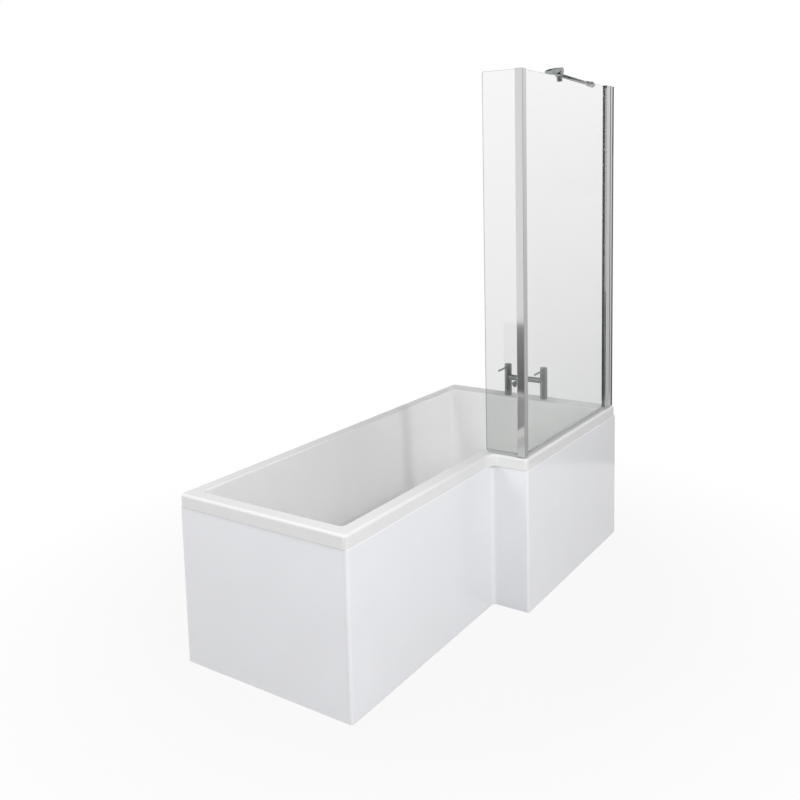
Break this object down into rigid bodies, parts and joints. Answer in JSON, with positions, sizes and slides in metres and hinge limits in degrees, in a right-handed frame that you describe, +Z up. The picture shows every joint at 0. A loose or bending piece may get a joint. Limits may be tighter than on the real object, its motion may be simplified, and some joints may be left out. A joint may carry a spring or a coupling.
{
  "type": "shower bath",
  "caption": "L-shaped acrylic shower bath with front and end panels, a deck-mounted bridge filler and a hinged glass screen with a return pane and a stay to the end wall.",
  "frame": {"origin": "on the floor, under the middle of the overall box", "axes": "+X along the bath from the foot end to the tap end, -Y the panelled front, +Y the long wall, +Z up"},
  "size_m": [1.7, 0.85, 2.0145],
  "materials": {
    "acrylic": "gloss white",
    "panel": "gloss white",
    "board": "raw chipboard",
    "timber": "sawn softwood",
    "zinc_steel": "zinc plated",
    "black_plastic": "moulded",
    "white_plastic": "moulded",
    "black_rubber": "moulded",
    "chrome": "polished",
    "brass": "turned",
    "profile": "bright polished",
    "clear_glass": "clear toughened",
    "grey_seal": "extruded",
    "clear_seal": "clear extruded"
  },
  "bodies": {
    "bath": {"bath_shell": "acrylic", "base_board": "board", "leg_bars": "zinc_steel", "leg_screws": "zinc_steel", "foot_pads": "black_plastic", "foot_studs": "zinc_steel", "foot_nuts": "zinc_steel", "rim_rails": "timber", "wall_brackets": "zinc_steel", "front_panel": "panel", "end_panel": "panel", "panel_clips": "zinc_steel", "panel_battens": "timber", "waste_flange": "chrome", "waste_seals": "black_rubber", "waste_body": "white_plastic", "trap_nut": "white_plastic", "bath_trap": "white_plastic", "overflow_rose": "chrome", "overflow_body": "white_plastic", "overflow_seal": "black_rubber", "overflow_hose": "white_plastic", "tap_pillars": "chrome", "tap_bridge": "chrome", "tap_spout": "chrome", "spout_aerator": "chrome", "tap_cartridges": "brass", "tap_tails": "brass", "tap_washers": "black_rubber", "tap_nuts": "brass", "wall_profile": "profile", "profile_cover": "profile", "wall_profile_cap": "profile"},
    "screen": {"hinge_profile": "profile", "hinge_profile_cap": "profile", "corner_post": "profile", "post_cap": "profile", "screen_glass": "clear_glass", "return_glass": "clear_glass", "screen_gaskets": "grey_seal", "screen_seal": "clear_seal", "return_seal": "clear_seal", "clamp_head": "chrome", "clamp_nose": "chrome", "clamp_peg": "chrome", "clamp_jaw": "chrome", "clamp_pads": "grey_seal", "pivot_pin": "chrome"},
    "support_arm": {"arm_bar": "chrome", "arm_collar": "chrome"},
    "wall_rose": {"arm_rose": "chrome", "rose_pin": "chrome"},
    "hot_tap": {"hot_tap_head": "chrome", "hot_tap_lever": "chrome"},
    "cold_tap": {"cold_tap_head": "chrome", "cold_tap_lever": "chrome"},
    "dial": {"overflow_dial": "chrome"},
    "plug": {"waste_plug": "chrome", "plug_seal": "black_rubber"}
  },
  "joints": [
    {"name": "screen_hinge", "type": "hinge", "parent": "bath", "child": "screen", "pos_m": [0.808, -0.4085, 1.289], "axis": [0, 0, 1], "range_deg": [0, 90]},
    {"name": "arm_swivel", "type": "hinge", "parent": "screen", "child": "support_arm", "pos_m": [0.3405, -0.387, 1.992], "axis": [0, 0, 1], "range_deg": [0, 90]},
    {"name": "rose_tilt", "type": "hinge", "parent": "support_arm", "child": "wall_rose", "pos_m": [0.82, -0.309, 2.0005], "axis": [0, 0, 1], "range_deg": [-20, 20]},
    {"name": "hot_turn", "type": "hinge", "parent": "bath", "child": "hot_tap", "pos_m": [0.806, 0.09, 0.722], "axis": [0, 0, -1], "range_deg": [0, 90]},
    {"name": "cold_turn", "type": "hinge", "parent": "bath", "child": "cold_tap", "pos_m": [0.806, -0.09, 0.722], "axis": [0, 0, 1], "range_deg": [0, 90]},
    {"name": "dial_turn", "type": "hinge", "parent": "bath", "child": "dial", "pos_m": [-0.4, -0.21132, 0.5], "axis": [0, 0.9964, 0.0851], "range_deg": [0, 90]},
    {"name": "plug_lift", "type": "slide", "parent": "bath", "child": "plug", "axis": [0, 0, 1], "range_m": [0, 0.01]}
  ],
  "couplings": [
    {"joint": "plug_lift", "follows": "dial_turn", "m_per_rad": 0.00636}
  ]
}
